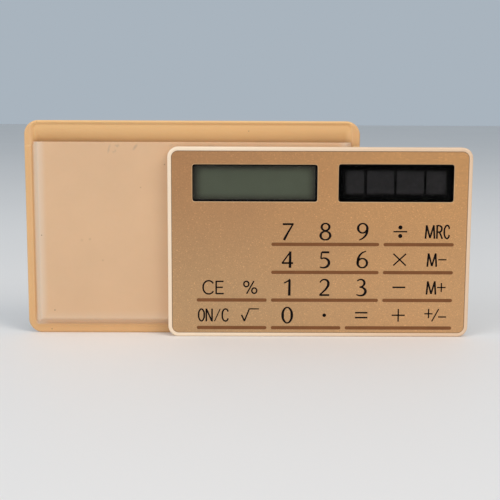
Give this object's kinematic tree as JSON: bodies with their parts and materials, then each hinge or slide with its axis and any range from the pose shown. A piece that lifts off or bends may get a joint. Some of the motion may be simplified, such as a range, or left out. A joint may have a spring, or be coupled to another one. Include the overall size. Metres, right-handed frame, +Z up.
{
  "type": "card calculator",
  "caption": "Card-sized solar calculator standing on its long edge, with a metallic face, touch keys, a display and solar cells, in front of its soft vinyl slip case.",
  "frame": {"origin": "middle of the calculator's flat bottom edge, half way through its thickness", "axes": "+X along the long edge, to the right of someone reading the face; +Y away from the face, towards the slip case; +Z up"},
  "size_m": [0.1263, 0.0077, 0.0611],
  "materials": {
    "cream_plastic": "semi-gloss moulded plastic",
    "satin_metal": "satin brushed plate",
    "clear_film": "thin film",
    "green_board": "solder mask over fibreglass",
    "carbon_ink": "printed carbon",
    "white_plastic": "moulded plastic",
    "black_resin": "cast resin",
    "tan_ceramic": "ceramic with tinned ends",
    "black_ceramic": "ceramic with tinned ends",
    "grey_polariser": "polarising film",
    "display_glass": "thin flat glass",
    "zebra_rubber": "layered conductive rubber",
    "clear_acrylic": "clear acrylic",
    "clear_glass": "thin flat glass",
    "black_foam": "thin foam",
    "dark_silicon": "thin film silicon",
    "gold_film": "printed film with fine metallic grain",
    "brown_ink": "printed line",
    "tan_vinyl": "soft frosted vinyl sheet"
  },
  "bodies": {
    "calculator": {"frame": "cream_plastic", "back_cover": "satin_metal", "insulating_sheet": "clear_film", "circuit_board": "green_board", "key_contacts": "carbon_ink", "key_guide": "white_plastic", "processor_cap": "black_resin", "chip_capacitors": "tan_ceramic", "chip_resistors": "black_ceramic", "clamp_diode": "black_resin", "lcd_rear_polariser": "grey_polariser", "lcd_rear_glass": "display_glass", "lcd_front_glass": "display_glass", "lcd_front_polariser": "grey_polariser", "lcd_connector": "zebra_rubber", "display_lens": "clear_acrylic", "display_gasket": "black_foam", "solar_pad": "black_foam", "solar_contacts": "zebra_rubber", "solar_cells": "dark_silicon", "solar_glass": "clear_glass", "solar_lens": "clear_acrylic", "solar_gasket": "black_foam", "face_film": "gold_film", "face_adhesive": "clear_film", "key_deck": "white_plastic", "key_row_bars": "brown_ink"},
    "slip_case": {"case_back_panel": "tan_vinyl", "case_front_panel": "tan_vinyl"},
    "key_on_clear_body": {"key_on_clear": "gold_film"},
    "key_square_root_body": {"key_square_root": "gold_film"},
    "key_0_body": {"key_0": "gold_film"},
    "key_decimal_body": {"key_decimal": "gold_film"},
    "key_equals_body": {"key_equals": "gold_film"},
    "key_plus_body": {"key_plus": "gold_film"},
    "key_sign_change_body": {"key_sign_change": "gold_film"},
    "key_clear_entry_body": {"key_clear_entry": "gold_film"},
    "key_percent_body": {"key_percent": "gold_film"},
    "key_1_body": {"key_1": "gold_film"},
    "key_2_body": {"key_2": "gold_film"},
    "key_3_body": {"key_3": "gold_film"},
    "key_minus_body": {"key_minus": "gold_film"},
    "key_memory_plus_body": {"key_memory_plus": "gold_film"},
    "key_4_body": {"key_4": "gold_film"},
    "key_5_body": {"key_5": "gold_film"},
    "key_6_body": {"key_6": "gold_film"},
    "key_multiply_body": {"key_multiply": "gold_film"},
    "key_memory_minus_body": {"key_memory_minus": "gold_film"},
    "key_7_body": {"key_7": "gold_film"},
    "key_8_body": {"key_8": "gold_film"},
    "key_9_body": {"key_9": "gold_film"},
    "key_divide_body": {"key_divide": "gold_film"},
    "key_memory_recall_body": {"key_memory_recall": "gold_film"}
  },
  "joints": [
    {"name": "key_on_clear_press", "type": "slide", "parent": "calculator", "child": "key_on_clear_body", "axis": [0, 1, 0], "range_m": [0, 0.00028], "stiffness_N_per_m": 2500},
    {"name": "key_square_root_press", "type": "slide", "parent": "calculator", "child": "key_square_root_body", "axis": [0, 1, 0], "range_m": [0, 0.00028], "stiffness_N_per_m": 2500},
    {"name": "key_0_press", "type": "slide", "parent": "calculator", "child": "key_0_body", "axis": [0, 1, 0], "range_m": [0, 0.00028], "stiffness_N_per_m": 2500},
    {"name": "key_decimal_press", "type": "slide", "parent": "calculator", "child": "key_decimal_body", "axis": [0, 1, 0], "range_m": [0, 0.00028], "stiffness_N_per_m": 2500},
    {"name": "key_equals_press", "type": "slide", "parent": "calculator", "child": "key_equals_body", "axis": [0, 1, 0], "range_m": [0, 0.00028], "stiffness_N_per_m": 2500},
    {"name": "key_plus_press", "type": "slide", "parent": "calculator", "child": "key_plus_body", "axis": [0, 1, 0], "range_m": [0, 0.00028], "stiffness_N_per_m": 2500},
    {"name": "key_sign_change_press", "type": "slide", "parent": "calculator", "child": "key_sign_change_body", "axis": [0, 1, 0], "range_m": [0, 0.00028], "stiffness_N_per_m": 2500},
    {"name": "key_clear_entry_press", "type": "slide", "parent": "calculator", "child": "key_clear_entry_body", "axis": [0, 1, 0], "range_m": [0, 0.00028], "stiffness_N_per_m": 2500},
    {"name": "key_percent_press", "type": "slide", "parent": "calculator", "child": "key_percent_body", "axis": [0, 1, 0], "range_m": [0, 0.00028], "stiffness_N_per_m": 2500},
    {"name": "key_1_press", "type": "slide", "parent": "calculator", "child": "key_1_body", "axis": [0, 1, 0], "range_m": [0, 0.00028], "stiffness_N_per_m": 2500},
    {"name": "key_2_press", "type": "slide", "parent": "calculator", "child": "key_2_body", "axis": [0, 1, 0], "range_m": [0, 0.00028], "stiffness_N_per_m": 2500},
    {"name": "key_3_press", "type": "slide", "parent": "calculator", "child": "key_3_body", "axis": [0, 1, 0], "range_m": [0, 0.00028], "stiffness_N_per_m": 2500},
    {"name": "key_minus_press", "type": "slide", "parent": "calculator", "child": "key_minus_body", "axis": [0, 1, 0], "range_m": [0, 0.00028], "stiffness_N_per_m": 2500},
    {"name": "key_memory_plus_press", "type": "slide", "parent": "calculator", "child": "key_memory_plus_body", "axis": [0, 1, 0], "range_m": [0, 0.00028], "stiffness_N_per_m": 2500},
    {"name": "key_4_press", "type": "slide", "parent": "calculator", "child": "key_4_body", "axis": [0, 1, 0], "range_m": [0, 0.00028], "stiffness_N_per_m": 2500},
    {"name": "key_5_press", "type": "slide", "parent": "calculator", "child": "key_5_body", "axis": [0, 1, 0], "range_m": [0, 0.00028], "stiffness_N_per_m": 2500},
    {"name": "key_6_press", "type": "slide", "parent": "calculator", "child": "key_6_body", "axis": [0, 1, 0], "range_m": [0, 0.00028], "stiffness_N_per_m": 2500},
    {"name": "key_multiply_press", "type": "slide", "parent": "calculator", "child": "key_multiply_body", "axis": [0, 1, 0], "range_m": [0, 0.00028], "stiffness_N_per_m": 2500},
    {"name": "key_memory_minus_press", "type": "slide", "parent": "calculator", "child": "key_memory_minus_body", "axis": [0, 1, 0], "range_m": [0, 0.00028], "stiffness_N_per_m": 2500},
    {"name": "key_7_press", "type": "slide", "parent": "calculator", "child": "key_7_body", "axis": [0, 1, 0], "range_m": [0, 0.00028], "stiffness_N_per_m": 2500},
    {"name": "key_8_press", "type": "slide", "parent": "calculator", "child": "key_8_body", "axis": [0, 1, 0], "range_m": [0, 0.00028], "stiffness_N_per_m": 2500},
    {"name": "key_9_press", "type": "slide", "parent": "calculator", "child": "key_9_body", "axis": [0, 1, 0], "range_m": [0, 0.00028], "stiffness_N_per_m": 2500},
    {"name": "key_divide_press", "type": "slide", "parent": "calculator", "child": "key_divide_body", "axis": [0, 1, 0], "range_m": [0, 0.00028], "stiffness_N_per_m": 2500},
    {"name": "key_memory_recall_press", "type": "slide", "parent": "calculator", "child": "key_memory_recall_body", "axis": [0, 1, 0], "range_m": [0, 0.00028], "stiffness_N_per_m": 2500},
    {"name": "slip_case_lift", "type": "slide", "parent": "calculator", "child": "slip_case", "axis": [0, 0, 1], "range_m": [0, 0.065]}
  ]
}
